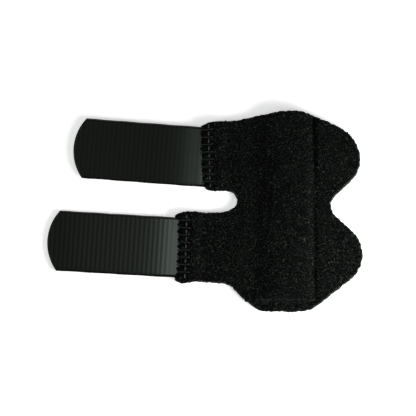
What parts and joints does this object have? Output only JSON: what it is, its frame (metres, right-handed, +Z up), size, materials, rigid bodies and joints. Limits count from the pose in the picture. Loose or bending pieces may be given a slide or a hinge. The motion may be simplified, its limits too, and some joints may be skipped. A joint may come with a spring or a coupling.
{
  "type": "finger splint",
  "caption": "Finger splint laid open: a loop-cloth wrap with a flat stay in a raised middle band, rounded wings, and hook tape straps sewn to its tabs.",
  "frame": {"origin": "centre of the footprint of the splint's bounding box, on the table that it lies on", "axes": "+X from the strap tips to the wings, +Y along the finger to the stay sleeve's open end, +Z up, out of the outer face"},
  "size_m": [0.1292, 0.0836, 0.0053],
  "materials": {
    "cloth": "black napped loop cloth over foam",
    "tape": "black woven nylon, smooth and a little glossy on its back",
    "stay": "bare rolled strip"
  },
  "bodies": {
    "root": {"cloth_wrap": "cloth", "stay": "stay", "upper_strap": "tape", "lower_strap": "tape"}
  },
  "joints": []
}
